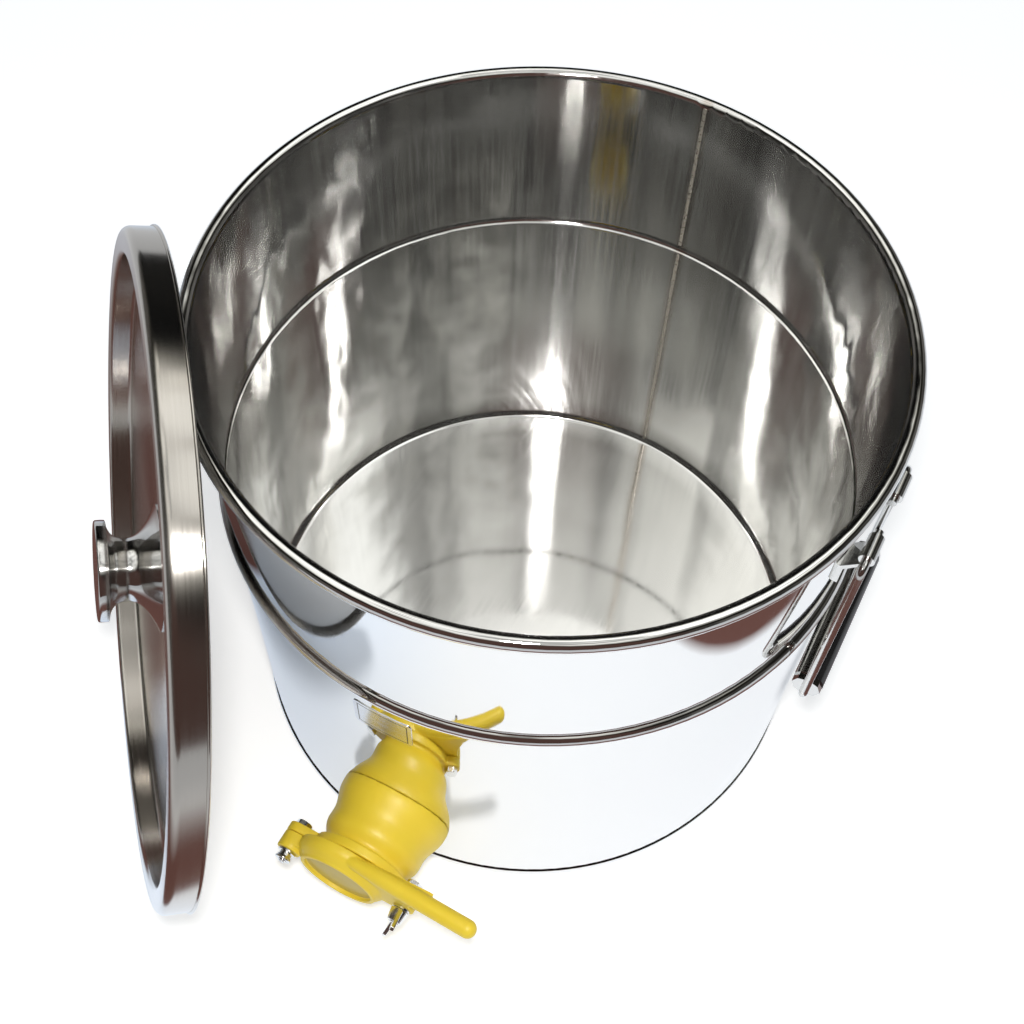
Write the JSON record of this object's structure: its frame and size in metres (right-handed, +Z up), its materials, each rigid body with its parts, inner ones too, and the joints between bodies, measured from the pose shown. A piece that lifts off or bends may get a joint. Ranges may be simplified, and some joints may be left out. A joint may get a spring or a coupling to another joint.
{
  "type": "honey settling tank",
  "caption": "Straight steel drum for settling honey, with a yellow plastic flap gate low on the wall, hanging wire handles and a dished lid leaning on its rim.",
  "frame": {"origin": "middle of the drum's base, on the floor", "axes": "+Z up along the drum's axis, the gate looks along -Y, the right handle is at +X"},
  "size_m": [0.5222, 0.5248, 0.3909],
  "materials": {
    "polished_steel": "mirror polished stainless sheet",
    "plain_steel": "bright stainless wire and fasteners",
    "plate_steel": "satin foil plate, blank",
    "knob_steel": "polished spun steel",
    "yellow_plastic": "moulded, soft gloss",
    "seal_rubber": "moulded seal",
    "black_grip": "smooth black"
  },
  "bodies": {
    "drum": {"tank_wall": "polished_steel", "rim_wire": "plain_steel", "tank_floor": "polished_steel", "weld_seam": "plain_steel", "blank_plate": "plate_steel", "right_lug_front": "polished_steel", "right_lug_back": "polished_steel", "left_lug_front": "polished_steel", "left_lug_back": "polished_steel", "gate_body": "yellow_plastic", "gate_seal": "seal_rubber", "gate_lock_nut": "yellow_plastic", "hinge_bolt": "plain_steel", "hinge_washer": "plain_steel", "hinge_nut": "plain_steel", "clamp_bolt": "plain_steel", "clamp_washer": "plain_steel"},
    "right_handle": {"right_bail": "plain_steel", "right_grip_inner": "polished_steel", "right_grip_outer": "black_grip", "right_cap_front": "plain_steel", "right_cap_back": "plain_steel"},
    "left_handle": {"left_bail": "plain_steel", "left_grip_inner": "polished_steel", "left_grip_outer": "black_grip", "left_cap_front": "plain_steel", "left_cap_back": "plain_steel"},
    "gate_flap": {"flap": "yellow_plastic", "flap_seal": "seal_rubber"},
    "gate_wing_nut": {"wing_nut": "plain_steel"},
    "lid": {"lid_pan": "polished_steel", "lid_knob": "knob_steel", "knob_washer": "plain_steel", "knob_screw": "plain_steel"}
  },
  "joints": [
    {"name": "right_handle_lift", "type": "hinge", "parent": "drum", "child": "right_handle", "pos_m": [0.1996, 0, 0.302], "axis": [0, -1, 0], "range_deg": [0, 110]},
    {"name": "left_handle_lift", "type": "hinge", "parent": "drum", "child": "left_handle", "pos_m": [-0.19448, 0.0449, 0.302], "axis": [0.225, 0.9744, 0], "range_deg": [0, 110]},
    {"name": "flap_swing", "type": "hinge", "parent": "drum", "child": "gate_flap", "pos_m": [-0.045, -0.2383, 0.0625], "axis": [0, -1, 0], "range_deg": [0, 90]},
    {"name": "wing_nut_turn", "type": "hinge", "parent": "drum", "child": "gate_wing_nut", "pos_m": [0.036, -0.2461, 0.0625], "axis": [0, -1, 0], "continuous": true},
    {"name": "lid_lift", "type": "slide", "parent": "drum", "child": "lid", "axis": [0, 0, 1], "range_m": [0, 0.4]}
  ]
}
